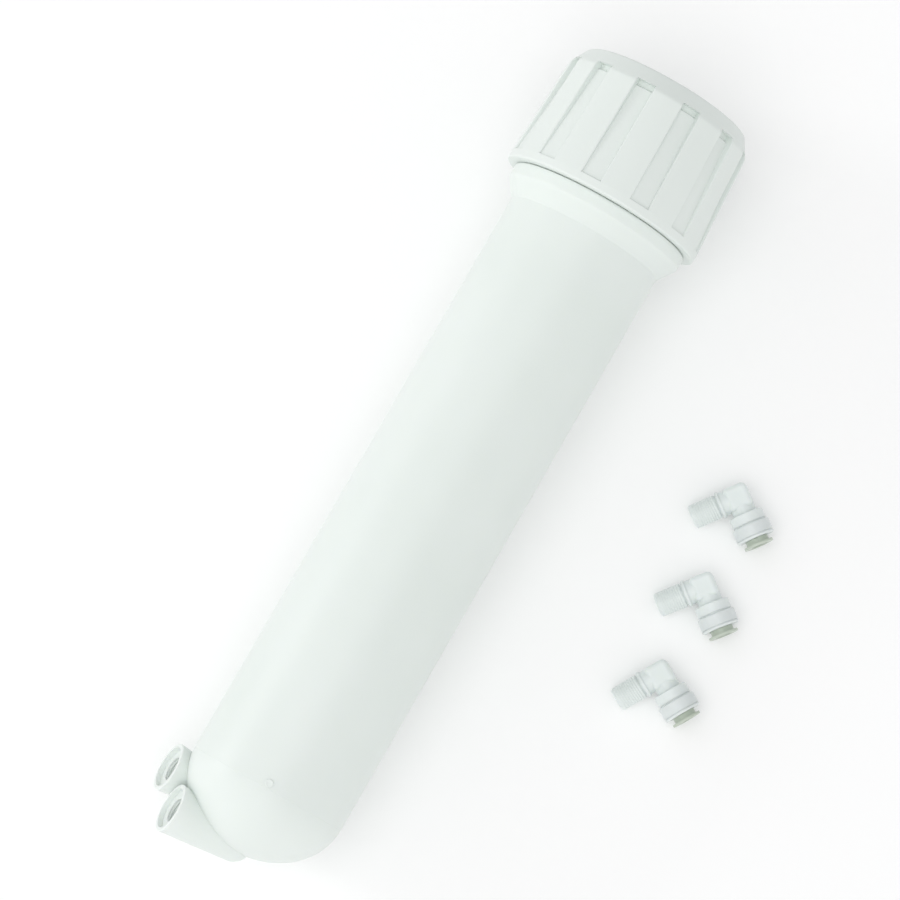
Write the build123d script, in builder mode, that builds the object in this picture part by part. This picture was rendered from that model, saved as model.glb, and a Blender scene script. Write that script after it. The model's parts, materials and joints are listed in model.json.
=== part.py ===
from build123d import *
from math import asin, cos, radians, sin, tan
import os

os.makedirs("parts", exist_ok=True)

# A household reverse osmosis membrane housing lying on a bench, with its screw cap, the spiral
# wound element inside it, and the three push-fit elbows that belong in its ports lying beside it.
# Millimetres. The housing is drawn upright, z = 0 at the ring where its dome starts, with its two
# ports towards +X, and is then laid down. Each elbow is drawn about its bend, stem towards +X and
# tube socket towards +Y.

# Housing
BARREL_R = 31.4
WALL = 4.6
BORE_R = BARREL_R - WALL
DOME_HEIGHT = 26.3
DOME_STEP = 0.08
FLARE_BASE = 238.4
COLLAR_BASE = 245.6
COLLAR_TOP = 250.6
COLLAR_R = 36.4
COLLAR_ROUND = 0.8
NECK_R = 32.2
NECK_TOP = 293.0

# Side ports: taper-thread sockets shown as plain holes at the thread's pitch radius
PORT_THREAD_R = 4.75
PORT_THREAD_DEPTH = 8.0
PORT_RECESS_R = 8.2
PORT_RECESS_DEPTH = 2.0
PORT_PASSAGE_R = 2.5
PORT_DRAFT = 6.0
PORT_MOUTH_R = 9.8
PORT_MOUTH_ROUND = 0.4
PERMEATE_PORT_Z = -23.9
PERMEATE_PORT_REACH = 29.5
BRINE_PORT_Z = -11.2
BRINE_PORT_Y = -15.0
BRINE_PORT_REACH = 33.3
BRINE_PORT_ROOT = 12.0
SOCKET_R = 8.75
SOCKET_WALL = 3.2
SOCKET_FLOOR = -17.0
SOCKET_TOP = 3.0

# Screw cap
CAP_BASE = 250.8
CAP_LIP_ROUND = 0.8
LIP_TOP = 254.4
LAND_R = 40.2
LAND_TOP = 294.7
LAND_TOP_R = 38.2
CAP_TOP = 302.1
CAP_TOP_R = 34.0
CAP_TOP_ROUND = 2.2
LAND_TOP_ROUND = 3.0
CAP_CEILING = 294.0
GROOVES = 12
GROOVE_ARC = 11.5
GROOVE_TOP = 296.0
GROOVE_TOP_R = 35.6
GROOVE_BASE_R = 39.5
POCKET_BASE = 293.4
POCKET_R = 34.6
GROOVE_PHASE = 27.1
LAND_ROUND = 0.5
FEED_BOSS_R = 9.0
FEED_BOSS_BASE = 289.0
PLUG_R = 26.3
PLUG_BORE_R = 19.0
PLUG_BASE = 281.0

# Screw thread between neck and cap
PITCH = 5.0
THREAD_HEIGHT = 2.2
THREAD_ROOT = 2.2
THREAD_CREST = 1.2
THREAD_GAP = 0.4
THREAD_TURNS = 3.0
THREAD_BASE = 268.0
CAP_THREAD_R = NECK_R + THREAD_HEIGHT + THREAD_GAP
CAP_THREAD_TOP = 287.0
CAP_CLEAR_R = NECK_R + 1.0

# Cap seal
SEAL_CORD_R = 1.5
SEAL_Z = 286.0
SEAL_RUN = 0.08
SEAL_GROOVE_GAP = 0.4

# Membrane element
TUBE_R = 8.65
TUBE_BORE_R = 6.0
TUBE_BASE = SOCKET_FLOOR + 1.0
TUBE_LENGTH = 298.0
TUBE_TOP = TUBE_BASE + TUBE_LENGTH
ROLL_BASE = 10.0
ROLL_TOP = 258.0
ROLL_R = 22.1
WRAP_THICKNESS = 0.5
LEAF_THICKNESS = 1.0
LEAF_PITCH = 2.2
LEAF_HALF_TURNS = 11
END_CAP_HEIGHT = 6.0
END_CAP_HUB_WALL = 2.5
END_CAP_RIM_WALL = 1.8
SPOKES = 8
SPOKE_WIDTH = 1.6
ELEMENT_GAP = 0.1
TUBE_PLUG_LENGTH = 8.0
BRINE_SEAL_HEIGHT = 5.6
BRINE_SEAL_FOOT = 1.8
BRINE_SEAL_LIP = 1.0
TUBE_SEALS = (-11.0, -5.0)
TUBE_SEAL_CORD_R = 0.9
TUBE_SEAL_DEPTH = 1.85
TUBE_HOLE_ROWS = 9
TUBE_HOLE_PITCH = 24.0
WEEP_HOLE_R = 1.0
FIT_GAP = 0.05

# Elbow
STEM_R = 4.7
STEM_TIP = 19.3
STEM_BASE = 8.6
STEM_CHAMFER = 0.6
FLANGE_R = 5.3
FLANGE_BASE = 6.7
FLANGE_TOP = 7.9
RELIEF_DEPTH = 0.4
BLOCK_HALF = 4.8
BLOCK_ROUND = 1.9
HEEL_ROUND = 2.4
NECKING_R = 4.75
BAND_BASE = 6.9
BAND_TOP = 10.8
BAND_R = 6.7
BAND_ROUND = 0.5
BAND_GROOVE_R = 6.3
PASSAGE_R = 2.2
TUBE_HOLE_R = 3.25
CLEAR_HOLE_R = 3.4
TUBE_STOP = 6.2
GLAND_BASE = 9.2
GLAND_R = 5.0
SPIGOT_R = 6.3
SPIGOT_TOP = 16.0
RETAINER_R = 7.4
RETAINER_BASE = 11.4
RETAINER_TOP = 17.2
RETAINER_LINE = 15.9
RETAINER_LINE_DEPTH = 0.3
RETAINER_LINE_WIDTH = 0.4
RETAINER_ROUND = 0.5
LIP_HOLE_R = 4.6
TUBE_CORD_R = 0.76
TUBE_SEAL_Y = 10.1
WASHER_BASE = 11.0
WASHER_TOP = 11.8
COLLET_BASE = 13.3
COLLET_HEAD_R = 4.85
COLLET_HEAD_TOP = 15.7
COLLET_R = 4.45
COLLET_SLIT = 0.8
COLLET_SLIT_TOP = 17.3
COLLET_FLANGE_BASE = 19.2
COLLET_FLANGE_R = 5.8
COLLET_ROUND = 0.3
COLLET_TOP = 20.2
GRAB_RING_Y = 14.2
GRAB_RING_R = 4.2
GRAB_RING_THICKNESS = 0.3
GRAB_NOTCH_R = 0.35
GRAB_TEETH = 12

# Rest places. The housing leans, because it lies on its barrel's end and on its wider cap's lip.
LEAN = asin((LAND_R - BARREL_R) / (CAP_BASE + CAP_LIP_ROUND))
PORT_RISE = radians(23.4)
HOUSING_X = -134.5
HOUSING_Y = 43.0
AXIS_DIR = Vector(cos(LEAN), 0, sin(LEAN))
UP_DIR = Vector(-sin(LEAN), 0, cos(LEAN))
PORT_DIR = Vector(0, 1, 0) * cos(PORT_RISE) + UP_DIR * sin(PORT_RISE)
HOUSING_REST = Plane(
    origin=(HOUSING_X, HOUSING_Y, BARREL_R * cos(LEAN)),
    x_dir=PORT_DIR,
    z_dir=AXIS_DIR,
)
ELBOW_DROOP = radians(7.2)
# Each elbow's bend: how far along and beside the housing it lies, and its stem's heading
ELBOWS = {
    "feed": (186.3, -98.5, 142.9),
    "permeate": (150.0, -104.0, 141.4),
    "drain": (112.4, -105.9, 150.0),
}


def elbow_rest(along, beside, heading):
    """The plane of an elbow that lies on its barrel with the tip of its stem drooping to the bench."""
    turn = radians(heading)
    stem_dir = Vector(
        cos(turn) * cos(ELBOW_DROOP), sin(turn) * cos(ELBOW_DROOP), -sin(ELBOW_DROOP)
    )
    socket_dir = Vector(-sin(turn), cos(turn), 0)
    return Plane(
        origin=(HOUSING_X + along, HOUSING_Y + beside, RETAINER_R),
        x_dir=stem_dir,
        z_dir=stem_dir.cross(socket_dir),
    )


def finish(piece, name, rest):
    """Lay a finished piece down in its rest place and write it."""
    piece.part.move(rest.location)
    piece.part.label = name
    export_step(piece.part, f"parts/{name}.step")


def ring(inner_r, outer_r, low, high, axis=Axis.Z):
    """A plain ring about the upright axis, or about the socket axis of an elbow."""
    plane = Plane.XZ if axis == Axis.Z else Plane.XY
    with BuildPart() as piece:
        with BuildSketch(plane):
            with Locations(((inner_r + outer_r) / 2, (low + high) / 2)):
                Rectangle(outer_r - inner_r, high - low)
        revolve(axis=axis)
    return piece


def o_ring(middle_r, cord_r, height, axis=Axis.Z):
    """A round-section ring about the same axes as a plain ring."""
    plane = Plane.XZ if axis == Axis.Z else Plane.XY
    with BuildPart() as piece:
        with BuildSketch(plane):
            with Locations((middle_r, height)):
                Circle(cord_r)
        revolve(axis=axis)
    return piece


def thread_ridge(radius, outward, base, turns):
    """A helical ridge with a trapezoid section that stands out of a wall, or in from one."""
    sink = 0.4
    root = radius - outward * sink
    crest = radius + outward * THREAD_HEIGHT
    root_half = (THREAD_ROOT + sink * (THREAD_ROOT - THREAD_CREST) / THREAD_HEIGHT) / 2
    with BuildPart() as piece:
        with BuildLine():
            Helix(pitch=PITCH, height=PITCH * turns, radius=radius, center=(0, 0, base))
        with BuildSketch(Plane.XZ):
            with BuildLine():
                Polyline(
                    (root, base - root_half),
                    (crest, base - THREAD_CREST / 2),
                    (crest, base + THREAD_CREST / 2),
                    (root, base + root_half),
                    close=True,
                )
            make_face()
        sweep(is_frenet=True)
    return piece


# ---------------------------------------------------------------- housing

neck_thread = thread_ridge(NECK_R, 1, THREAD_BASE, THREAD_TURNS)

with BuildPart() as housing_body:
    with BuildSketch(Plane.XZ):
        with BuildLine():
            EllipticalCenterArc(
                (0, 0), BARREL_R - DOME_STEP, DOME_HEIGHT, start_angle=-90, arc_size=90
            )
            Polyline(
                (BARREL_R - DOME_STEP, 0),
                (BARREL_R, 0),
                (BARREL_R, FLARE_BASE),
                (COLLAR_R, COLLAR_BASE),
                (COLLAR_R, COLLAR_TOP),
                (NECK_R, COLLAR_TOP),
                (NECK_R, NECK_TOP),
                (0, NECK_TOP),
                (0, -DOME_HEIGHT),
            )
        make_face()
    revolve(axis=Axis.Z)
    collar_edges = edges().filter_by(GeomType.CIRCLE).filter_by(
        lambda e: abs(e.radius - COLLAR_R) < 0.01
    )
    fillet(collar_edges, COLLAR_ROUND)
    # Permeate port, narrowing across the axis to a rounded closed end
    with BuildSketch(Plane(origin=(PERMEATE_PORT_REACH, 0, PERMEATE_PORT_Z), z_dir=(-1, 0, 0))):
        Circle(PORT_MOUTH_R)
    extrude(amount=PERMEATE_PORT_REACH, taper=PORT_DRAFT)
    # The sphere that closes the narrow end is tangent to the port's cone
    end_r = PORT_MOUTH_R - PERMEATE_PORT_REACH * tan(radians(PORT_DRAFT))
    sphere_r = end_r / cos(radians(PORT_DRAFT))
    with Locations((end_r * tan(radians(PORT_DRAFT)), 0, PERMEATE_PORT_Z)):
        Sphere(sphere_r)
    # Brine port, above it and to one side
    mouth = Plane(origin=(BRINE_PORT_REACH, BRINE_PORT_Y, BRINE_PORT_Z), z_dir=(-1, 0, 0))
    with BuildSketch(mouth):
        Circle(PORT_MOUTH_R)
    extrude(amount=BRINE_PORT_REACH - BRINE_PORT_ROOT, taper=PORT_DRAFT)
    mouth_edges = edges().filter_by(GeomType.CIRCLE).filter_by(
        lambda e: abs(e.radius - PORT_MOUTH_R) < 0.01
    )
    fillet(mouth_edges, PORT_MOUTH_ROUND)
    # Hollow inside
    with BuildSketch(Plane.XZ):
        with BuildLine():
            EllipticalCenterArc(
                (0, 0), BORE_R, DOME_HEIGHT - WALL, start_angle=-90, arc_size=90
            )
            Polyline(
                (BORE_R, 0), (BORE_R, NECK_TOP), (0, NECK_TOP), (0, WALL - DOME_HEIGHT)
            )
        make_face()
    revolve(axis=Axis.Z, mode=Mode.SUBTRACT)
    # Socket for the element's permeate tube
    with BuildSketch(Plane.XY.offset(WALL / 2 - DOME_HEIGHT)):
        Circle(SOCKET_R + SOCKET_WALL)
    extrude(amount=SOCKET_TOP - WALL / 2 + DOME_HEIGHT)
    with BuildSketch(Plane.XY.offset(SOCKET_FLOOR)):
        Circle(SOCKET_R)
    extrude(amount=SOCKET_TOP - SOCKET_FLOOR, mode=Mode.SUBTRACT)
    with BuildSketch(Plane.XY.offset(PERMEATE_PORT_Z)):
        Circle(PORT_PASSAGE_R)
    extrude(amount=SOCKET_FLOOR - PERMEATE_PORT_Z, mode=Mode.SUBTRACT)
    # Holes of the two ports, from their mouths inwards
    for y, z, reach, passage in (
        (0, PERMEATE_PORT_Z, PERMEATE_PORT_REACH, PERMEATE_PORT_REACH + PORT_PASSAGE_R),
        (BRINE_PORT_Y, BRINE_PORT_Z, BRINE_PORT_REACH, BRINE_PORT_REACH - BRINE_PORT_ROOT),
    ):
        for hole_r, depth in (
            (PORT_RECESS_R, PORT_RECESS_DEPTH),
            (PORT_THREAD_R, PORT_RECESS_DEPTH + PORT_THREAD_DEPTH),
            (PORT_PASSAGE_R, passage),
        ):
            with BuildSketch(Plane(origin=(reach, y, z), z_dir=(-1, 0, 0))):
                Circle(hole_r)
            extrude(amount=depth, mode=Mode.SUBTRACT)
    add(neck_thread.part)

# ---------------------------------------------------------------- cap

cap_thread = thread_ridge(CAP_THREAD_R, -1, THREAD_BASE + PITCH / 2, THREAD_TURNS)

with BuildPart() as groove_cutter:
    pocket_edge_r = GROOVE_BASE_R + (GROOVE_TOP_R - GROOVE_BASE_R) * (
        (POCKET_BASE - LIP_TOP) / (GROOVE_TOP - LIP_TOP)
    )
    with BuildSketch(Plane.XZ):
        with BuildLine():
            Polyline(
                (GROOVE_BASE_R, LIP_TOP),
                (LAND_R + WALL, LIP_TOP),
                (LAND_R + WALL, GROOVE_TOP),
                (POCKET_R, GROOVE_TOP),
                (POCKET_R, POCKET_BASE + 0.5),
                (pocket_edge_r, POCKET_BASE),
                close=True,
            )
        make_face()
    revolve(axis=Axis.Z, revolution_arc=GROOVE_ARC)


def beside_groove(edge):
    """Whether an edge of the cap runs up the side of a groove, out at the lands."""
    low, high = sorted((edge @ 0, edge @ 1), key=lambda end: end.Z)
    in_groove = low.Z > LIP_TOP - 0.01 and high.Z < GROOVE_TOP + 0.01
    climbs = high.Z - low.Z > 0.2
    rise = (high.Z - LIP_TOP) / (GROOVE_TOP - LIP_TOP)
    floor_r = GROOVE_BASE_R + (GROOVE_TOP_R - GROOVE_BASE_R) * rise
    return in_groove and climbs and Vector(high.X, high.Y).length > floor_r + 0.2


with BuildPart() as housing_cap:
    with BuildSketch(Plane.XZ):
        with BuildLine():
            Polyline(
                (0, CAP_BASE),
                (LAND_R, CAP_BASE),
                (LAND_R, LIP_TOP),
                (LAND_TOP_R, LAND_TOP),
                (CAP_TOP_R, CAP_TOP),
                (0, CAP_TOP),
                close=True,
            )
        make_face()
        for corner, round_r in (
            ((CAP_TOP_R, CAP_TOP), CAP_TOP_ROUND),
            ((LAND_TOP_R, LAND_TOP), LAND_TOP_ROUND),
            ((LAND_R, CAP_BASE), CAP_LIP_ROUND),
        ):
            fillet(vertices().sort_by_distance((*corner, 0))[0], round_r)
    revolve(axis=Axis.Z)
    with PolarLocations(0, GROOVES, start_angle=GROOVE_PHASE - GROOVE_ARC / 2):
        add(groove_cutter.part, mode=Mode.SUBTRACT)
    fillet(edges().filter_by(beside_groove), LAND_ROUND)
    # Hollow for the neck, around the plug and the feed port's boss
    with BuildSketch(Plane.XZ):
        with BuildLine():
            Polyline(
                (0, CAP_BASE),
                (CAP_THREAD_R, CAP_BASE),
                (CAP_THREAD_R, CAP_THREAD_TOP),
                (CAP_CLEAR_R, CAP_THREAD_TOP),
                (CAP_CLEAR_R, CAP_CEILING),
                (PLUG_R, CAP_CEILING),
                (PLUG_R, PLUG_BASE),
                (PLUG_BORE_R, PLUG_BASE),
                (PLUG_BORE_R, CAP_CEILING),
                (FEED_BOSS_R, CAP_CEILING),
                (FEED_BOSS_R, FEED_BOSS_BASE),
                (0, FEED_BOSS_BASE),
                close=True,
            )
        make_face()
    revolve(axis=Axis.Z, mode=Mode.SUBTRACT)
    # Seal groove round the plug
    with BuildSketch(Plane.XZ):
        with Locations((PLUG_R, SEAL_Z)):
            Rectangle(
                2 * (PLUG_R - BORE_R + 2 * SEAL_CORD_R) + SEAL_GROOVE_GAP,
                2 * SEAL_CORD_R + SEAL_GROOVE_GAP,
            )
    revolve(axis=Axis.Z, mode=Mode.SUBTRACT)
    # Feed port in the middle of the top
    for hole_r, depth in (
        (PORT_RECESS_R, PORT_RECESS_DEPTH),
        (PORT_THREAD_R, PORT_RECESS_DEPTH + PORT_THREAD_DEPTH),
        (PORT_PASSAGE_R, CAP_TOP - FEED_BOSS_BASE),
    ):
        with BuildSketch(Plane.XY.offset(CAP_TOP)):
            Circle(hole_r)
        extrude(amount=-depth, mode=Mode.SUBTRACT)
    add(cap_thread.part)

# ---------------------------------------------------------------- membrane element


def spiral_band(start_r, thickness, first_side):
    """A sheet wound round the permeate tube, as half turns that each grow by half a pitch."""
    step = LEAF_PITCH / 2
    end_side = first_side * (-1) ** LEAF_HALF_TURNS
    end_r = start_r + step * LEAF_HALF_TURNS
    with BuildPart() as piece:
        with BuildSketch(Plane.XY.offset(ROLL_BASE)):
            with BuildLine():
                for edge in (0, thickness):
                    side = first_side
                    for half_turn in range(LEAF_HALF_TURNS):
                        near_r = start_r + edge + step * half_turn
                        far_r = near_r + step
                        CenterArc(
                            (side * (near_r - far_r) / 2, 0),
                            (near_r + far_r) / 2,
                            start_angle=90 - 90 * side,
                            arc_size=180,
                        )
                        side = -side
                Line((first_side * start_r, 0), (first_side * (start_r + thickness), 0))
                Line((end_side * end_r, 0), (end_side * (end_r + thickness), 0))
            make_face()
        extrude(amount=ROLL_TOP - ROLL_BASE)
    return piece


def end_cap(base):
    """A spoked disc that holds one end of the roll on the permeate tube and lets water past."""
    hub_r = TUBE_R + END_CAP_HUB_WALL
    rim_inner_r = ROLL_R - END_CAP_RIM_WALL
    with BuildPart() as piece:
        with BuildSketch(Plane.XY.offset(base)):
            Circle(ROLL_R + WRAP_THICKNESS)
            Circle(rim_inner_r, mode=Mode.SUBTRACT)
            Circle(hub_r)
            with PolarLocations((hub_r + rim_inner_r) / 2, SPOKES):
                Rectangle(rim_inner_r - hub_r + 1.0, SPOKE_WIDTH)
            Circle(TUBE_R + ELEMENT_GAP, mode=Mode.SUBTRACT)
        extrude(amount=END_CAP_HEIGHT)
    return piece


with BuildPart() as permeate_tube:
    with BuildSketch(Plane.XY.offset(TUBE_BASE)):
        Circle(TUBE_R)
        Circle(TUBE_BORE_R, mode=Mode.SUBTRACT)
    extrude(amount=TUBE_LENGTH)
    # Grooves for the two end seals
    for seal_z in TUBE_SEALS:
        with BuildSketch(Plane.XZ):
            with Locations((TUBE_R, seal_z)):
                Rectangle(2 * TUBE_SEAL_DEPTH, 2 * TUBE_SEAL_CORD_R + 0.3)
        revolve(axis=Axis.Z, mode=Mode.SUBTRACT)
    # Holes that let the permeate in, in pairs turned a quarter turn from one to the next
    for row in range(TUBE_HOLE_ROWS):
        height = ROLL_BASE + TUBE_HOLE_PITCH * (row + 1)
        across = Plane.XZ if row % 2 else Plane.YZ
        with BuildSketch(across):
            with Locations((0, height)):
                Circle(WEEP_HOLE_R)
        extrude(amount=2 * TUBE_R, both=True, mode=Mode.SUBTRACT)

tube_plug = ring(0.0, TUBE_BORE_R - FIT_GAP, TUBE_TOP - TUBE_PLUG_LENGTH, TUBE_TOP)
membrane_leaf = spiral_band(TUBE_R + ELEMENT_GAP, LEAF_THICKNESS, 1)
feed_spacer = spiral_band(TUBE_R + ELEMENT_GAP, LEAF_THICKNESS, -1)
element_wrap = ring(ROLL_R, ROLL_R + WRAP_THICKNESS, ROLL_BASE, ROLL_TOP)
lower_end_cap = end_cap(ROLL_BASE - ELEMENT_GAP - END_CAP_HEIGHT)
upper_end_cap = end_cap(ROLL_TOP + ELEMENT_GAP)

# A lip seal in a U section, gripping the top end cap and wiping the housing's bore
with BuildPart() as brine_seal:
    seal_r = ROLL_R + WRAP_THICKNESS + ELEMENT_GAP
    lip_r = BORE_R - ELEMENT_GAP
    seal_base = ROLL_TOP + ELEMENT_GAP
    seal_top = seal_base + BRINE_SEAL_HEIGHT
    with BuildSketch(Plane.XZ):
        with BuildLine():
            Polyline(
                (seal_r, seal_base),
                (seal_r + BRINE_SEAL_FOOT, seal_base),
                (lip_r, seal_top - BRINE_SEAL_LIP),
                (lip_r, seal_top),
                (lip_r - BRINE_SEAL_LIP, seal_top),
                (seal_r + 1.3 * BRINE_SEAL_LIP, seal_base + 1.6 * BRINE_SEAL_LIP),
                (seal_r + BRINE_SEAL_LIP, seal_top),
                (seal_r, seal_top),
                close=True,
            )
        make_face()
    revolve(axis=Axis.Z)

housing_pieces = {
    "housing_body": housing_body,
    "housing_cap": housing_cap,
    "cap_o_ring": o_ring(BORE_R - SEAL_RUN - SEAL_CORD_R, SEAL_CORD_R, SEAL_Z),
    "permeate_tube": permeate_tube,
    "permeate_tube_plug": tube_plug,
    "membrane_leaf": membrane_leaf,
    "feed_spacer": feed_spacer,
    "element_wrap": element_wrap,
    "lower_end_cap": lower_end_cap,
    "upper_end_cap": upper_end_cap,
    "brine_seal": brine_seal,
}
for place, seal_z in zip(("lower", "upper"), TUBE_SEALS):
    seal_middle_r = SOCKET_R - SEAL_RUN - TUBE_SEAL_CORD_R
    housing_pieces[f"{place}_tube_o_ring"] = o_ring(seal_middle_r, TUBE_SEAL_CORD_R, seal_z)
for name, piece in housing_pieces.items():
    finish(piece, name, HOUSING_REST)

# ---------------------------------------------------------------- elbows


def elbow_body():
    """The moulded elbow: threaded stem, collar, square bend, and the socket for the tube."""
    with BuildPart() as piece:
        Box(2 * BLOCK_HALF, 2 * BLOCK_HALF, 2 * BLOCK_HALF)
        heel = edges().filter_by(Axis.Z).sort_by(Axis.X)[:2].sort_by(Axis.Y)[0]
        fillet(heel, HEEL_ROUND)
        fillet(edges(), BLOCK_ROUND)
        # Stem and collar, about the X axis
        with BuildSketch(Plane.XY):
            with BuildLine():
                Polyline(
                    (0, 0),
                    (0, NECKING_R),
                    (FLANGE_BASE, NECKING_R),
                    (FLANGE_BASE, FLANGE_R),
                    (FLANGE_TOP, FLANGE_R),
                    (FLANGE_TOP, STEM_R - RELIEF_DEPTH),
                    (STEM_BASE, STEM_R - RELIEF_DEPTH),
                    (STEM_BASE, STEM_R),
                    (STEM_TIP - STEM_CHAMFER, STEM_R),
                    (STEM_TIP, STEM_R - STEM_CHAMFER),
                    (STEM_TIP, 0),
                    close=True,
                )
            make_face()
        revolve(axis=Axis.X)
        # Socket about the Y axis: a round-shouldered band, and a spigot for the retainer
        with BuildSketch(Plane.XY):
            with BuildLine():
                Polyline(
                    (0, 0),
                    (NECKING_R, 0),
                    (NECKING_R, BAND_BASE),
                    (BAND_R, BAND_BASE),
                    (BAND_R, BAND_TOP),
                    (BAND_GROOVE_R, BAND_TOP),
                    (SPIGOT_R, SPIGOT_TOP),
                    (0, SPIGOT_TOP),
                    close=True,
                )
            make_face()
            for shoulder, round_r in ((BAND_BASE, BAND_ROUND), (BAND_TOP, BAND_ROUND / 2)):
                fillet(vertices().sort_by_distance((BAND_R, shoulder, 0))[0], round_r)
        revolve(axis=Axis.Y)
        # Water passage round the bend, tube pocket and seal gland
        with BuildSketch(Plane.XY):
            with BuildLine():
                Polyline(
                    (0, -PASSAGE_R),
                    (PASSAGE_R, -PASSAGE_R),
                    (PASSAGE_R, TUBE_STOP),
                    (TUBE_HOLE_R, TUBE_STOP),
                    (TUBE_HOLE_R, GLAND_BASE),
                    (GLAND_R, GLAND_BASE),
                    (GLAND_R, SPIGOT_TOP),
                    (0, SPIGOT_TOP),
                    close=True,
                )
            make_face()
        revolve(axis=Axis.Y, mode=Mode.SUBTRACT)
        with BuildSketch(Plane.YZ):
            Circle(PASSAGE_R)
        extrude(amount=STEM_TIP, mode=Mode.SUBTRACT)
    return piece


def retainer():
    """The outer band, pressed over the socket's spigot; its lip keeps the collet in."""
    inner_r = SPIGOT_R + FIT_GAP
    line_r = RETAINER_R - RETAINER_LINE_DEPTH
    with BuildPart() as piece:
        with BuildSketch(Plane.XY):
            with BuildLine():
                Polyline(
                    (inner_r, RETAINER_BASE),
                    (RETAINER_R, RETAINER_BASE),
                    (RETAINER_R, RETAINER_LINE),
                    (line_r, RETAINER_LINE),
                    (line_r, RETAINER_LINE + RETAINER_LINE_WIDTH),
                    (RETAINER_R, RETAINER_LINE + RETAINER_LINE_WIDTH),
                    (RETAINER_R, RETAINER_TOP),
                    (LIP_HOLE_R, RETAINER_TOP),
                    (LIP_HOLE_R, SPIGOT_TOP + FIT_GAP),
                    (inner_r, SPIGOT_TOP + FIT_GAP),
                    close=True,
                )
            make_face()
            for corner in (RETAINER_BASE, RETAINER_TOP):
                fillet(vertices().sort_by_distance((RETAINER_R, corner, 0))[0], RETAINER_ROUND)
        revolve(axis=Axis.Y)
    return piece


def collet():
    """The sleeve that releases the tube when pushed in: split gripping head, and a finger flange."""
    with BuildPart() as piece:
        with BuildSketch(Plane.XY):
            with BuildLine():
                Polyline(
                    (CLEAR_HOLE_R, COLLET_BASE),
                    (COLLET_HEAD_R, COLLET_BASE),
                    (COLLET_HEAD_R, COLLET_HEAD_TOP),
                    (COLLET_R, COLLET_HEAD_TOP),
                    (COLLET_R, COLLET_FLANGE_BASE),
                    (COLLET_FLANGE_R, COLLET_FLANGE_BASE),
                    (COLLET_FLANGE_R, COLLET_TOP),
                    (CLEAR_HOLE_R, COLLET_TOP),
                    close=True,
                )
            make_face()
            for corner_r in (COLLET_FLANGE_R, CLEAR_HOLE_R):
                fillet(vertices().sort_by_distance((corner_r, COLLET_TOP, 0))[0], COLLET_ROUND)
        revolve(axis=Axis.Y)
        # Seat of the steel grab ring
        with BuildSketch(Plane.XY):
            with Locations((CLEAR_HOLE_R, GRAB_RING_Y)):
                Rectangle(
                    2 * (GRAB_RING_R - CLEAR_HOLE_R + FIT_GAP), GRAB_RING_THICKNESS + FIT_GAP
                )
        revolve(axis=Axis.Y, mode=Mode.SUBTRACT)
        # Slits between the fingers of the head
        slit_length = COLLET_SLIT_TOP - COLLET_BASE
        for width_x, width_z in ((2 * GLAND_R, COLLET_SLIT), (COLLET_SLIT, 2 * GLAND_R)):
            with Locations((0, COLLET_BASE + slit_length / 2, 0)):
                Box(width_x, slit_length, width_z, mode=Mode.SUBTRACT)
    return piece


def grab_ring():
    """The steel ring in the collet's head, with teeth that bite the tube."""
    with BuildPart() as piece:
        with BuildSketch(Plane.XZ.offset(-GRAB_RING_Y - GRAB_RING_THICKNESS / 2)):
            Circle(GRAB_RING_R)
            Circle(CLEAR_HOLE_R, mode=Mode.SUBTRACT)
            with PolarLocations(CLEAR_HOLE_R, GRAB_TEETH):
                Circle(GRAB_NOTCH_R, mode=Mode.SUBTRACT)
        extrude(amount=GRAB_RING_THICKNESS)
    return piece


for owner, (along, beside, heading) in ELBOWS.items():
    elbow_pieces = {
        "elbow_body": elbow_body(),
        "tube_o_ring": o_ring(CLEAR_HOLE_R + TUBE_CORD_R, TUBE_CORD_R, TUBE_SEAL_Y, Axis.Y),
        "seal_washer": ring(CLEAR_HOLE_R, GLAND_R - FIT_GAP, WASHER_BASE, WASHER_TOP, Axis.Y),
        "retainer": retainer(),
        "collet": collet(),
        "grab_ring": grab_ring(),
    }
    for name, piece in elbow_pieces.items():
        finish(piece, f"{owner}_{name}", elbow_rest(along, beside, heading))
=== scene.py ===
import bpy
import bmesh
import json
from math import cos, pi, radians, sin, tau
from mathutils import Matrix, Vector


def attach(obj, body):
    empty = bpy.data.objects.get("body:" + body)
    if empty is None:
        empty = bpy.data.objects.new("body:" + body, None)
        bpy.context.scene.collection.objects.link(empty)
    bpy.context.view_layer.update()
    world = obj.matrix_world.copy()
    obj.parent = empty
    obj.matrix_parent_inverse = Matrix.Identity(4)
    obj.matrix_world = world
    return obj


# The looks of a membrane housing and its three loose elbows: plastics, rubber, membrane and steel
# for the CAD nodes, the threads and moulding marks that the CAD leaves plain, and a pale studio.
# Everything is in metres, in the CAD's frame.

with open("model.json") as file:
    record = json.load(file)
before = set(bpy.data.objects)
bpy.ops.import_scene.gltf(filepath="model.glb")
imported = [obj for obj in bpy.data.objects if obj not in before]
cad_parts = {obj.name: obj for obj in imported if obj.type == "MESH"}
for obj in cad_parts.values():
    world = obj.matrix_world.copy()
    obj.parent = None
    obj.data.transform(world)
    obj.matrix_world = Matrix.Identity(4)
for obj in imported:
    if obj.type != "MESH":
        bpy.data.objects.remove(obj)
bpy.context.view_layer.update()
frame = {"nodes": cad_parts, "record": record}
mounts = {mount["name"]: mount for mount in frame["record"]["mounts"]}
node_slots = {part["node"]: part["material_slot"] for part in frame["record"]["subparts"]}
ELBOWS = ("feed", "permeate", "drain")


# ---------------------------------------------------------------- shader helpers


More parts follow.
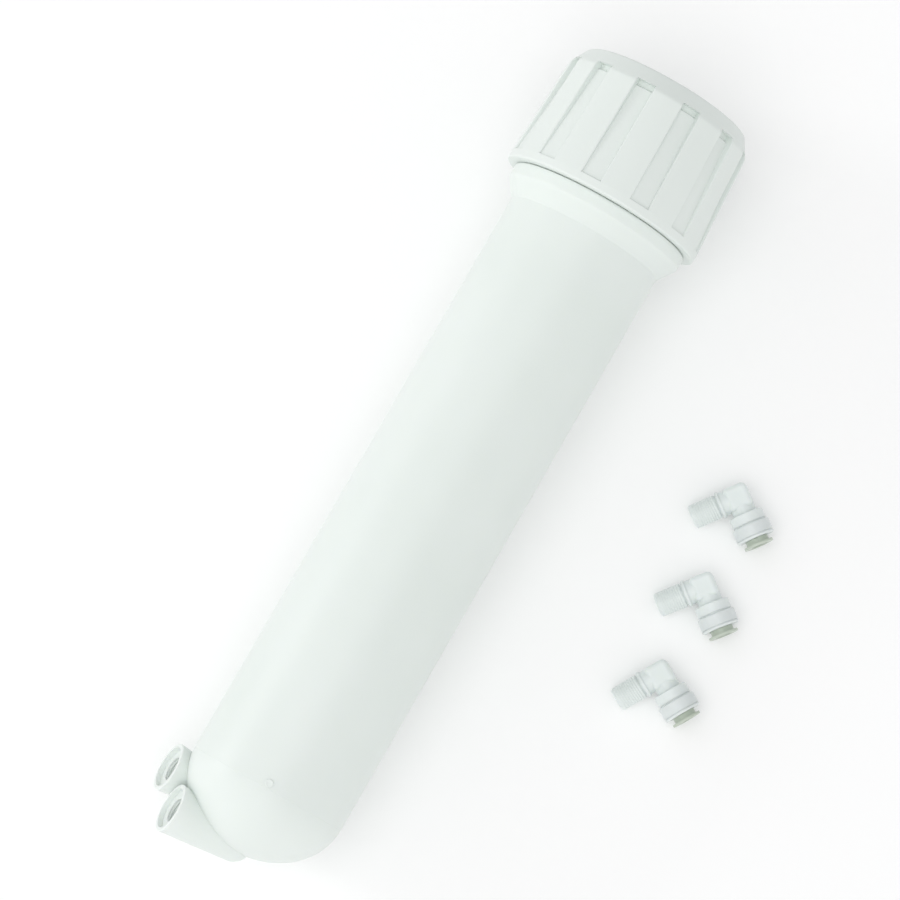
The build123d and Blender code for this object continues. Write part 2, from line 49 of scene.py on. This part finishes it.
def new_material(name, color, roughness, metallic=0.0, subsurface=0.0, coat=0.0):
    """A principled material whose even values are set on the shader itself."""
    material = bpy.data.materials.new(name)
    material.use_nodes = True
    shader = material.node_tree.nodes["Principled BSDF"]
    shader.inputs["Base Color"].default_value = (*color, 1.0)
    shader.inputs["Roughness"].default_value = roughness
    shader.inputs["Metallic"].default_value = metallic
    shader.inputs["Subsurface Weight"].default_value = subsurface
    shader.inputs["Subsurface Radius"].default_value = (0.004, 0.004, 0.0035)
    shader.inputs["Subsurface Scale"].default_value = 1.0
    shader.inputs["Coat Weight"].default_value = coat
    return material, material.node_tree, shader


def placed(tree, stretch=(1.0, 1.0, 1.0), turn=(0.0, 0.0, 0.0)):
    """The object's own coordinates in metres, stretched or turned for grain with a direction."""
    place = tree.nodes.new("ShaderNodeTexCoord")
    mapping = tree.nodes.new("ShaderNodeMapping")
    mapping.inputs["Scale"].default_value = stretch
    mapping.inputs["Rotation"].default_value = turn
    tree.links.new(place.outputs["Object"], mapping.inputs["Vector"])
    return mapping.outputs["Vector"]


def noise(tree, scale, detail=4.0, stretch=(1.0, 1.0, 1.0), turn=(0.0, 0.0, 0.0)):
    texture = tree.nodes.new("ShaderNodeTexNoise")
    texture.inputs["Scale"].default_value = scale
    texture.inputs["Detail"].default_value = detail
    tree.links.new(placed(tree, stretch, turn), texture.inputs["Vector"])
    return texture.outputs["Fac"]


def bands(tree, scale, turn, distortion=0.0):
    """Even sine bands across the turned X axis."""
    texture = tree.nodes.new("ShaderNodeTexWave")
    texture.inputs["Scale"].default_value = scale
    texture.inputs["Distortion"].default_value = distortion
    tree.links.new(placed(tree, turn=turn), texture.inputs["Vector"])
    return texture.outputs["Fac"]


def specks(tree, scale):
    """Distance to the nearest of many scattered points."""
    texture = tree.nodes.new("ShaderNodeTexVoronoi")
    texture.inputs["Scale"].default_value = scale
    tree.links.new(placed(tree), texture.inputs["Vector"])
    return texture.outputs["Distance"]


def ramp(tree, value, *stops):
    """A colour ramp over a value, from (position, colour) stops."""
    node = tree.nodes.new("ShaderNodeValToRGB")
    elements = node.color_ramp.elements
    while len(elements) < len(stops):
        elements.new(0.5)
    for element, (position, color) in zip(elements, stops):
        element.position = position
        element.color = (*color, 1.0)
    tree.links.new(value, node.inputs["Fac"])
    return node.outputs["Color"]


def span(tree, value, low, high, start=0.0, end=1.0):
    """The value's stretch from start to end, spread from low to high."""
    node = tree.nodes.new("ShaderNodeMapRange")
    node.inputs["From Min"].default_value = start
    node.inputs["From Max"].default_value = end
    node.inputs["To Min"].default_value = low
    node.inputs["To Max"].default_value = high
    tree.links.new(value, node.inputs["Value"])
    return node.outputs["Result"]


def math_node(tree, operation, first, second):
    node = tree.nodes.new("ShaderNodeMath")
    node.operation = operation
    tree.links.new(first, node.inputs[0])
    tree.links.new(second, node.inputs[1])
    return node.outputs["Value"]


def mixed(tree, factor, first, second):
    """A colour mixed towards a second, which is another socket or an even colour."""
    node = tree.nodes.new("ShaderNodeMix")
    node.data_type = "RGBA"
    tree.links.new(factor, node.inputs["Factor"])
    tree.links.new(first, node.inputs["A"])
    if isinstance(second, tuple):
        node.inputs["B"].default_value = (*second, 1.0)
    else:
        tree.links.new(second, node.inputs["B"])
    return node.outputs["Result"]


def relief(tree, shader, layers, edge=0.0):
    """Layers of (height, depth in metres, strength), over edges rounded by the given radius."""
    below = None
    if edge:
        rounding = tree.nodes.new("ShaderNodeBevel")
        rounding.samples = 6
        rounding.inputs["Radius"].default_value = edge
        below = rounding.outputs["Normal"]
    for height, depth, strength in layers:
        node = tree.nodes.new("ShaderNodeBump")
        node.inputs["Strength"].default_value = strength
        node.inputs["Distance"].default_value = depth
        tree.links.new(height, node.inputs["Height"])
        if below is not None:
            tree.links.new(below, node.inputs["Normal"])
        below = node.outputs["Normal"]
    tree.links.new(below, shader.inputs["Normal"])


# ---------------------------------------------------------------- materials


FLECK_TINT = (0.975, 0.97, 0.95)


def moulded(name, light, shade, roughness, grain, coat, subsurface, edge):
    """Moulded plastic: slightly uneven colour and gloss, faint rub marks and a fine tool grain."""
    material, tree, shader = new_material(name, light, roughness, 0.0, subsurface, coat)
    patches = noise(tree, 18.0, 3.0)
    flecks = noise(tree, 700.0, 2.0)
    cloud = ramp(tree, patches, (0.32, shade), (0.66, light))
    warm = tuple(channel * tint for channel, tint in zip(light, FLECK_TINT))
    rare = span(tree, flecks, 0.0, 0.5, 0.68, 0.8)
    tree.links.new(mixed(tree, rare, cloud, warm), shader.inputs["Base Color"])
    smears = noise(tree, 130.0, 5.0)
    rubs = noise(tree, 60.0, 6.0, stretch=(0.15, 1.0, 1.0), turn=(0.0, 0.0, 0.4))
    dull = math_node(tree, "ADD", span(tree, smears, -0.04, 0.05), span(tree, rubs, -0.03, 0.04))
    gloss = span(tree, dull, roughness - 0.1, roughness + 0.1, -0.1, 0.1)
    tree.links.new(gloss, shader.inputs["Roughness"])
    relief(
        tree,
        shader,
        (
            (noise(tree, 45.0, 2.0), 0.00025, 0.35),
            (noise(tree, 240.0, 3.0), 0.00004, 0.4),
            (noise(tree, 2400.0, 2.0), grain, 0.6),
        ),
        edge,
    )
    return material


def rubber(name):
    """Dull black rubber with a greyish bloom in patches."""
    material, tree, shader = new_material(name, (0.02, 0.02, 0.021), 0.55)
    bloom = noise(tree, 400.0, 6.0)
    color = ramp(tree, bloom, (0.4, (0.016, 0.016, 0.017)), (0.75, (0.05, 0.05, 0.052)))
    tree.links.new(color, shader.inputs["Base Color"])
    tree.links.new(span(tree, bloom, 0.45, 0.7), shader.inputs["Roughness"])
    relief(tree, shader, ((noise(tree, 3000.0, 3.0), 0.00003, 0.7),))
    return material


def extruded(name):
    """Off-white extruded tube and its glued parts, with fine draw lines along the housing."""
    material, tree, shader = new_material(name, (0.8, 0.79, 0.75), 0.35, 0.0, 0.15)
    lines = noise(tree, 900.0, 3.0, stretch=(0.01, 1.0, 1.0), turn=(0.0, radians(2.0), 0.0))
    color = ramp(tree, lines, (0.3, (0.76, 0.75, 0.7)), (0.7, (0.83, 0.82, 0.79)))
    tree.links.new(color, shader.inputs["Base Color"])
    tree.links.new(span(tree, lines, 0.28, 0.44), shader.inputs["Roughness"])
    relief(tree, shader, ((lines, 0.00004, 0.5), (noise(tree, 2600.0), 0.00001, 0.5)), 0.0002)
    return material


def membrane(name):
    """Polyamide film on a non-woven backing: cream, with matted fibres."""
    material, tree, shader = new_material(name, (0.72, 0.7, 0.6), 0.6, 0.0, 0.1)
    fibres = noise(tree, 1500.0, 6.0, stretch=(1.0, 0.3, 1.0))
    matted = specks(tree, 1800.0)
    tone = math_node(tree, "MULTIPLY", fibres, span(tree, matted, 0.7, 1.0))
    color = ramp(tree, tone, (0.2, (0.6, 0.57, 0.46)), (0.6, (0.78, 0.76, 0.67)))
    tree.links.new(color, shader.inputs["Base Color"])
    tree.links.new(span(tree, tone, 0.5, 0.72), shader.inputs["Roughness"])
    relief(tree, shader, ((fibres, 0.00008, 0.7), (matted, 0.00003, 0.5)))
    return material


def net(name):
    """Extruded diamond net: two layers of crossing strands, with painted shade in the gaps between
    them.
    """
    material, tree, shader = new_material(name, (0.7, 0.72, 0.7), 0.45)
    one_way = bands(tree, 120.0, (0.0, 0.0, radians(45.0)))
    other_way = bands(tree, 120.0, (0.0, 0.0, radians(-45.0)))
    strands = math_node(tree, "MAXIMUM", one_way, other_way)
    # The dark first stop is painted shade in the gaps between the strands.
    color = ramp(
        tree, strands, (0.35, (0.18, 0.19, 0.18)), (0.6, (0.62, 0.64, 0.61)), (1.0, (0.74, 0.76, 0.73))
    )
    tree.links.new(color, shader.inputs["Base Color"])
    tree.links.new(span(tree, noise(tree, 600.0), 0.38, 0.52), shader.inputs["Roughness"])
    relief(tree, shader, ((strands, 0.0004, 0.8), (noise(tree, 2200.0), 0.00002, 0.4)))
    return material


def film(name):
    """Glossy adhesive film wound round the roll: bands that overlap, with trapped bubbles."""
    material, tree, shader = new_material(name, (0.66, 0.72, 0.78), 0.18, 0.0, 0.0, 0.4)
    overlaps = bands(tree, 6.0, (0.0, radians(2.0), radians(14.0)), 0.4)
    color = ramp(tree, overlaps, (0.86, (0.66, 0.72, 0.78)), (0.93, (0.56, 0.62, 0.69)))
    bubbles = specks(tree, 320.0)
    trapped = ramp(tree, bubbles, (0.1, (0.8, 0.83, 0.86)), (0.2, (0.66, 0.72, 0.78)))
    few = span(tree, bubbles, 0.6, 0.0, 0.08, 0.18)
    tree.links.new(mixed(tree, few, color, trapped), shader.inputs["Base Color"])
    tree.links.new(span(tree, noise(tree, 90.0, 5.0), 0.12, 0.28), shader.inputs["Roughness"])
    relief(tree, shader, ((overlaps, 0.00012, 0.6), (noise(tree, 70.0, 3.0), 0.0006, 0.4)))
    return material


def steel(name):
    """Stamped stainless steel with fine rolling lines."""
    material, tree, shader = new_material(name, (0.6, 0.6, 0.59), 0.3, 1.0)
    lines = noise(tree, 2600.0, 4.0, stretch=(1.0, 0.05, 1.0))
    color = ramp(tree, lines, (0.3, (0.5, 0.5, 0.49)), (0.7, (0.68, 0.68, 0.66)))
    tree.links.new(color, shader.inputs["Base Color"])
    tree.links.new(span(tree, lines, 0.22, 0.4), shader.inputs["Roughness"])
    relief(tree, shader, ((lines, 0.00001, 0.5),), 0.0001)
    return material


MOULDED_EDGE = 0.0003
# Light and shade colour, roughness, grain depth, coat and how far light spreads under the surface
MOULDED_LOOKS = {
    "housing_plastic": ((0.80, 0.85, 0.82), (0.775, 0.83, 0.795), 0.42, 0.00003, 0.0, 0.25),
    "cap_plastic": ((0.795, 0.845, 0.815), (0.775, 0.825, 0.795), 0.46, 0.00004, 0.0, 0.05),
    "fitting_plastic": ((0.80, 0.86, 0.845), (0.77, 0.83, 0.81), 0.32, 0.00001, 0.1, 0.4),
    # The collet's grey-green is its own light grey tint darkened with painted shade, the shade of the
    # gap at the socket's mouth.
    "collet_plastic": ((0.56, 0.62, 0.54), (0.5, 0.56, 0.47), 0.36, 0.00001, 0.1, 0.15),
}
SLOT_MATERIALS = {
    "tube_plastic": extruded("tube_white"),
    "black_rubber": rubber("seal_rubber"),
    "membrane_film": membrane("membrane_cream"),
    "spacer_mesh": net("feed_net"),
    "wrap_film": film("wrap_blue_white"),
    "spring_steel": steel("ring_steel"),
}
for slot, look in MOULDED_LOOKS.items():
    SLOT_MATERIALS[slot] = moulded(slot, *look, MOULDED_EDGE)
# Ridges are too thin for edge rounding, or for light to spread under their surface
FINE_MATERIALS = {}
for slot, look in MOULDED_LOOKS.items():
    FINE_MATERIALS[slot] = moulded(f"{slot}_fine", *look[:-1], 0.0, 0.0)

for node in frame["nodes"]:
    for material_slot in bpy.data.objects[node].material_slots:
        material_slot.material = SLOT_MATERIALS[node_slots[node]]


# ---------------------------------------------------------------- pieces the CAD leaves plain


def mount_matrix(name):
    """A mount's own frame: its middle, with +Z along its axis."""
    turn = Vector(mounts[name]["axis"]).to_track_quat("Z", "Y")
    return Matrix.Translation(mounts[name]["pos_m"]) @ turn.to_matrix().to_4x4()


def make_piece(name, mesh_data, matrix, slot, body):
    """A smooth-shaded piece from bmesh data, placed, finished and riding on its body."""
    mesh = bpy.data.meshes.new(name)
    mesh_data.to_mesh(mesh)
    mesh_data.free()
    mesh.transform(matrix)
    for polygon in mesh.polygons:
        polygon.use_smooth = True
    mesh.materials.append(FINE_MATERIALS[slot])
    piece = bpy.data.objects.new(name, mesh)
    bpy.context.collection.objects.link(piece)
    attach(piece, body)


PIPE_PITCH = 0.0254 / 27
THREAD_TIP_LOSS = 0.5
THREAD_FADE_TURNS = 0.5
THREAD_SINK = 0.00008
STEPS_PER_TURN = 40
# One flank of a ridge, foot to crest: height as a share of the ridge's, place as a share of the pitch
FLANK = ((0.12, -0.4), (0.5, -0.25), (0.88, -0.1))


def thread_mesh(length, wall_r, height, outward):
    """A helical ridge on a round wall, lower towards +Z and fading out at both ends."""
    turns = length / PIPE_PITCH - 1
    steps = int(turns * STEPS_PER_TURN)
    section = [(-THREAD_SINK, -0.5), *FLANK, (1.0, 0.0)]
    section += [(share, -across) for share, across in reversed(section[:-1])]
    mesh = bmesh.new()
    rows = []
    for step in range(steps + 1):
        angle = tau * step / STEPS_PER_TURN
        rise = PIPE_PITCH * (0.5 + step / STEPS_PER_TURN)
        from_end = min(step, steps - step) / STEPS_PER_TURN
        fade = min(1.0, from_end / THREAD_FADE_TURNS)
        tall = height * (1 - THREAD_TIP_LOSS * rise / length) * sin(fade * pi / 2) ** 0.7
        row = []
        for share, across in section:
            reach = wall_r + outward * (share if share < 0 else share * tall)
            place = (reach * cos(angle), reach * sin(angle), rise + across * PIPE_PITCH - length / 2)
            row.append(mesh.verts.new(place))
        rows.append(row)
    for low, high in zip(rows, rows[1:]):
        for first in range(len(section)):
            second = (first + 1) % len(section)
            face = mesh.faces.new((low[first], low[second], high[second], high[first]))
        for edge in face.edges:
            edge.smooth = False
    mesh.faces.new(rows[0])
    mesh.faces.new(rows[-1])
    bmesh.ops.recalc_face_normals(mesh, faces=mesh.faces)
    return mesh


def thread(name, mount, height, outward, slot, body):
    """The taper thread of a stem or a port, at the wall of its mount."""
    dims = mounts[mount]["dims"]
    mesh = thread_mesh(dims["length_mm"] / 1000, dims["r_mm"] / 1000, height, outward)
    make_piece(name, mesh, mount_matrix(mount), slot, body)


STEM_THREAD_HEIGHT = 0.0002
PORT_THREAD_HEIGHT = 0.00035
for elbow in ELBOWS:
    thread(
        f"{elbow}_stem_thread", f"{elbow}_stem", STEM_THREAD_HEIGHT, 1, "fitting_plastic",
        f"{elbow}_elbow",
    )
for port, slot, body in (
    ("permeate_port", "housing_plastic", "housing"),
    ("brine_port", "housing_plastic", "housing"),
    ("feed_port", "cap_plastic", "cap"),
):
    thread(f"{port}_thread", port, PORT_THREAD_HEIGHT, -1, slot, body)


def turned_mesh(outline, segments=48):
    """A closed solid of revolution about Z from (radius, height) points, bottom to top."""
    mesh = bmesh.new()
    rings = []
    for radius, height in outline:
        if radius == 0:
            rings.append([mesh.verts.new((0, 0, height))])
            continue
        turn = [tau * step / segments for step in range(segments)]
        rings.append([mesh.verts.new((radius * cos(a), radius * sin(a), height)) for a in turn])
    for low, high in zip(rings, rings[1:]):
        for step in range(segments):
            ahead = (step + 1) % segments
            corners = [low[step % len(low)], low[ahead % len(low)]]
            corners += [high[ahead % len(high)], high[step % len(high)]]
            mesh.faces.new(list(dict.fromkeys(corners)))
    bmesh.ops.recalc_face_normals(mesh, faces=mesh.faces)
    return mesh


# The moulding gate's low witness on the barrel, just above where the dome starts
barrel = mounts["clip_barrel"]
barrel_axis = Vector(barrel["axis"])
barrel_r = barrel["dims"]["r_mm"] / 1000
dome_ring = Vector(barrel["pos_m"]) - barrel_axis * barrel["dims"]["length_mm"] / 2000
port_dir = Vector(mounts["brine_port"]["axis"])
side_dir = barrel_axis.cross(port_dir)
GATE_TURN = radians(69.6)
GATE_R = 0.0016
GATE_HEIGHT = 0.00024
GATE_SINK = 0.0006
GATE_ABOVE_RING = 0.002
gate_out = port_dir * cos(GATE_TURN) + side_dir * sin(GATE_TURN)
gate_place = dome_ring + barrel_axis * GATE_ABOVE_RING + gate_out * barrel_r
gate_turn = gate_out.to_track_quat("Z", "Y").to_matrix().to_4x4()
gate_outline = [(0, -GATE_SINK), (GATE_R, -GATE_SINK), (GATE_R, 0)]
gate_outline += [(GATE_R * share, GATE_HEIGHT * height) for share, height in (
    (0.97, 0.7), (0.88, 1.0), (0.72, 0.85), (0.45, 0.35), (0.2, 0.25), (0, 0.4),
)]
make_piece(
    "gate_mark", turned_mesh(gate_outline), Matrix.Translation(gate_place) @ gate_turn,
    "housing_plastic", "housing",
)


# ---------------------------------------------------------------- floor, light and camera

FLOOR_SIZE = 6.0
FLOOR_GLOW = 0.07
floor_mesh = bpy.data.meshes.new("floor")
half = FLOOR_SIZE / 2
corners = [(-half, -half, 0), (half, -half, 0), (half, half, 0), (-half, half, 0)]
floor_mesh.from_pydata(corners, [], [(0, 1, 2, 3)])
floor = bpy.data.objects.new("floor", floor_mesh)
bpy.context.collection.objects.link(floor)
floor_material, floor_tree, floor_shader = new_material("floor_pale", (0.95, 0.95, 0.95), 0.7)
paper = ramp(
    floor_tree, noise(floor_tree, 3.0, 3.0), (0.3, (0.94, 0.94, 0.94)), (0.7, (0.96, 0.96, 0.96))
)
floor_tree.links.new(paper, floor_shader.inputs["Base Color"])
floor_shader.inputs["Emission Color"].default_value = (1.0, 1.0, 1.0, 1.0)
floor_shader.inputs["Emission Strength"].default_value = FLOOR_GLOW
relief(floor_tree, floor_shader, ((noise(floor_tree, 900.0, 3.0), 0.00005, 0.2),))
floor_mesh.materials.append(floor_material)


def softbox(name, place, aim, size, power):
    light = bpy.data.lights.new(name, "AREA")
    light.shape = "SQUARE"
    light.size = size
    light.energy = power
    item = bpy.data.objects.new(name, light)
    bpy.context.collection.objects.link(item)
    item.location = place
    item.rotation_euler = (Vector(aim) - Vector(place)).to_track_quat("-Z", "Y").to_euler()


softbox("key", place=(-0.4, 2.2, 0.75), aim=(0, 0, 0.03), size=0.6, power=8.0)
softbox("top", place=(-0.6, 0.1, 2.4), aim=(0, 0, 0), size=2.0, power=11.5)


def studio_world(dim, bright, strength):
    """An even white studio, a little darker beyond the cap's end."""
    world = bpy.data.worlds.new("studio")
    bpy.context.scene.world = world
    world.use_nodes = True
    tree = world.node_tree
    place = tree.nodes.new("ShaderNodeTexCoord")
    parts = tree.nodes.new("ShaderNodeSeparateXYZ")
    tree.links.new(place.outputs["Generated"], parts.inputs["Vector"])
    along = span(tree, parts.outputs["X"], 1.0, 0.0, 0.0, 1.0)
    background = tree.nodes["Background"]
    tree.links.new(ramp(tree, along, (0.0, dim), (1.0, bright)), background.inputs["Color"])
    background.inputs["Strength"].default_value = strength


studio_world(dim=(0.4, 0.41, 0.42), bright=(1.0, 1.0, 1.0), strength=0.9)
bpy.context.scene.view_settings.view_transform = "Standard"

SENSOR_MM = 36.0
LENS_MM = 171.0
CAMERA_PLACE = (-0.1895, -0.0668, 1.6267)
CAMERA_TILT = radians(8.2)
CAMERA_TURN = radians(-60.2)
camera_data = bpy.data.cameras.new("camera")
camera_data.sensor_width = SENSOR_MM
camera_data.lens = LENS_MM
camera = bpy.data.objects.new("camera", camera_data)
bpy.context.collection.objects.link(camera)
camera.location = CAMERA_PLACE
camera.rotation_euler = (CAMERA_TILT, 0, CAMERA_TURN)
bpy.context.scene.camera = camera
